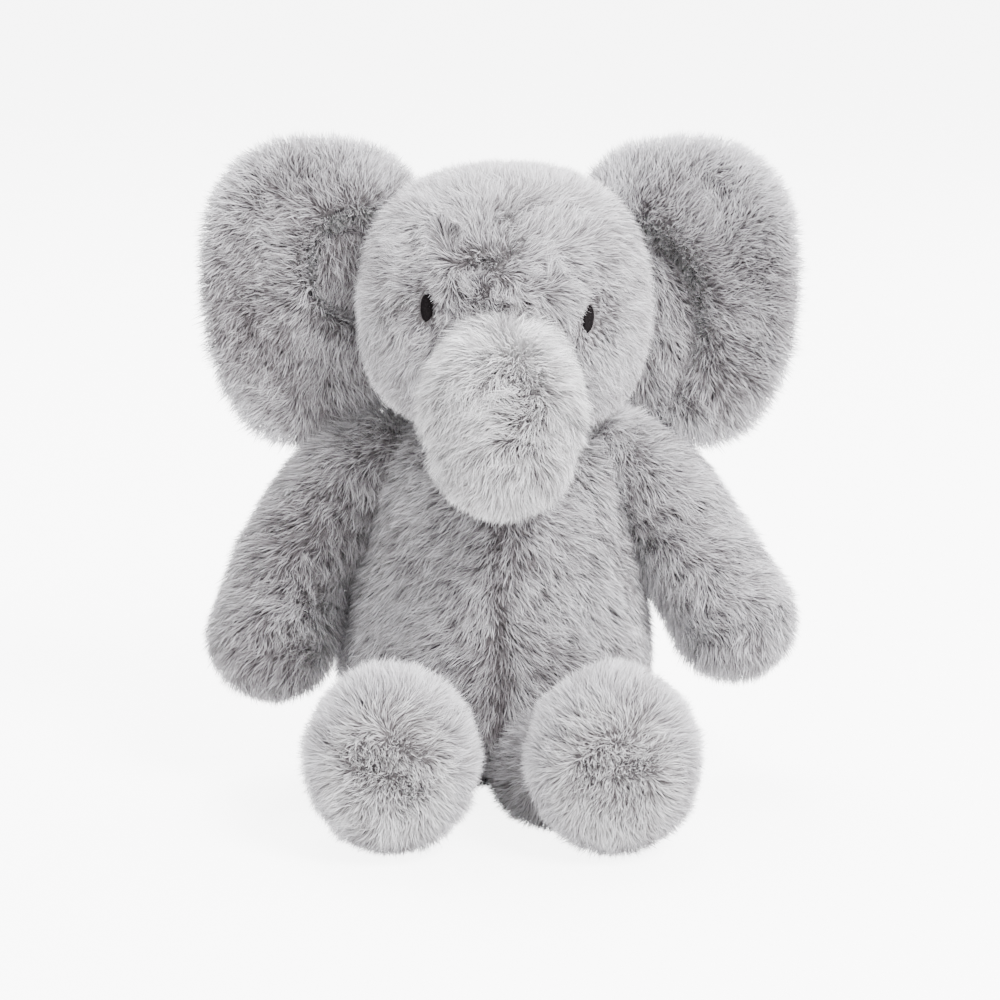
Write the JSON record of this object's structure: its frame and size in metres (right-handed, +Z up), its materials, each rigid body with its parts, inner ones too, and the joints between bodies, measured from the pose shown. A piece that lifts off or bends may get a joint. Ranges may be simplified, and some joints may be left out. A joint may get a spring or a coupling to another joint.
{
  "type": "plush elephant",
  "caption": "Seated plush elephant with big padded ears, a drooping trunk and floppy arms and legs, sewn from long-pile fabric over fibre fill.",
  "frame": {"origin": "middle of the flat seat, on the surface it sits on", "axes": "+Z up, the face looks along -Y, +X is the elephant's left"},
  "size_m": [0.2485, 0.2225, 0.2725],
  "materials": {
    "grey_fur": "matte",
    "pale_fur": "matte",
    "fibre_fill": "matte",
    "pouch_cloth": "matte",
    "pellets": "satin",
    "eye_thread": "satin",
    "seam_thread": "matte"
  },
  "bodies": {
    "torso": {"torso_front_right_panel": "grey_fur", "torso_front_left_panel": "grey_fur", "torso_back_right_panel": "grey_fur", "torso_back_left_panel": "grey_fur", "torso_base_panel": "grey_fur", "torso_fibre_fill": "fibre_fill", "pellet_pouch_cloth": "pouch_cloth", "pellet_fill": "pellets", "back_closing_stitches": "seam_thread"},
    "head": {"head_right_panel": "grey_fur", "head_left_panel": "grey_fur", "head_gusset": "grey_fur", "head_chin_panel": "grey_fur", "head_fibre_fill": "fibre_fill", "right_eye_embroidery": "eye_thread", "left_eye_embroidery": "eye_thread"},
    "trunk": {"trunk_top_panel": "pale_fur", "trunk_under_panel": "pale_fur", "trunk_fibre_fill": "fibre_fill"},
    "tail": {"tail_right_panel": "grey_fur", "tail_left_panel": "grey_fur", "tail_fibre_fill": "fibre_fill"},
    "right_ear": {"right_ear_front_panel": "grey_fur", "right_ear_back_panel": "grey_fur", "right_ear_wadding": "fibre_fill"},
    "right_arm": {"right_arm_front_panel": "grey_fur", "right_arm_back_panel": "grey_fur", "right_arm_fibre_fill": "fibre_fill"},
    "right_leg": {"right_leg_top_panel": "grey_fur", "right_leg_under_panel": "grey_fur", "right_foot_sole_panel": "pale_fur", "right_leg_fibre_fill": "fibre_fill"},
    "left_ear": {"left_ear_front_panel": "grey_fur", "left_ear_back_panel": "grey_fur", "left_ear_wadding": "fibre_fill"},
    "left_arm": {"left_arm_front_panel": "grey_fur", "left_arm_back_panel": "grey_fur", "left_arm_fibre_fill": "fibre_fill"},
    "left_leg": {"left_leg_top_panel": "grey_fur", "left_leg_under_panel": "grey_fur", "left_foot_sole_panel": "pale_fur", "left_leg_fibre_fill": "fibre_fill"}
  },
  "joints": [
    {"name": "neck_turn", "type": "hinge", "parent": "torso", "child": "head", "pos_m": [0.002, -0.008, 0.2065], "axis": [0, 0, 1], "range_deg": [-20, 20], "stiffness_Nm_per_rad": 0.6},
    {"name": "trunk_lift", "type": "hinge", "parent": "head", "child": "trunk", "pos_m": [0.003, -0.048, 0.197], "axis": [-1, 0, 0], "range_deg": [-6, 16], "stiffness_Nm_per_rad": 0.8},
    {"name": "right_ear_flap", "type": "hinge", "parent": "head", "child": "right_ear", "pos_m": [-0.048, 0.012, 0.209], "axis": [0, 0, 1], "range_deg": [-20, 20], "stiffness_Nm_per_rad": 0.2},
    {"name": "left_ear_flap", "type": "hinge", "parent": "head", "child": "left_ear", "pos_m": [0.048, 0.012, 0.209], "axis": [0, 0, -1], "range_deg": [-20, 20], "stiffness_Nm_per_rad": 0.2},
    {"name": "right_shoulder", "type": "hinge", "parent": "torso", "child": "right_arm", "pos_m": [-0.065, 0, 0.126], "axis": [-1, 0, 0], "range_deg": [-25, 60], "stiffness_Nm_per_rad": 0.3},
    {"name": "left_shoulder", "type": "hinge", "parent": "torso", "child": "left_arm", "pos_m": [0.061, 0.002, 0.128], "axis": [-1, 0, 0], "range_deg": [-25, 60], "stiffness_Nm_per_rad": 0.3},
    {"name": "right_hip", "type": "hinge", "parent": "torso", "child": "right_leg", "pos_m": [-0.038, -0.038, 0.03], "axis": [-1, 0, 0], "range_deg": [0, 25], "stiffness_Nm_per_rad": 0.5},
    {"name": "left_hip", "type": "hinge", "parent": "torso", "child": "left_leg", "pos_m": [0.038, -0.038, 0.03], "axis": [-1, 0, 0], "range_deg": [0, 25], "stiffness_Nm_per_rad": 0.5},
    {"name": "tail_wag", "type": "hinge", "parent": "torso", "child": "tail", "pos_m": [0, 0.064, 0.046], "axis": [0, 0, 1], "range_deg": [-35, 35], "stiffness_Nm_per_rad": 0.02}
  ]
}
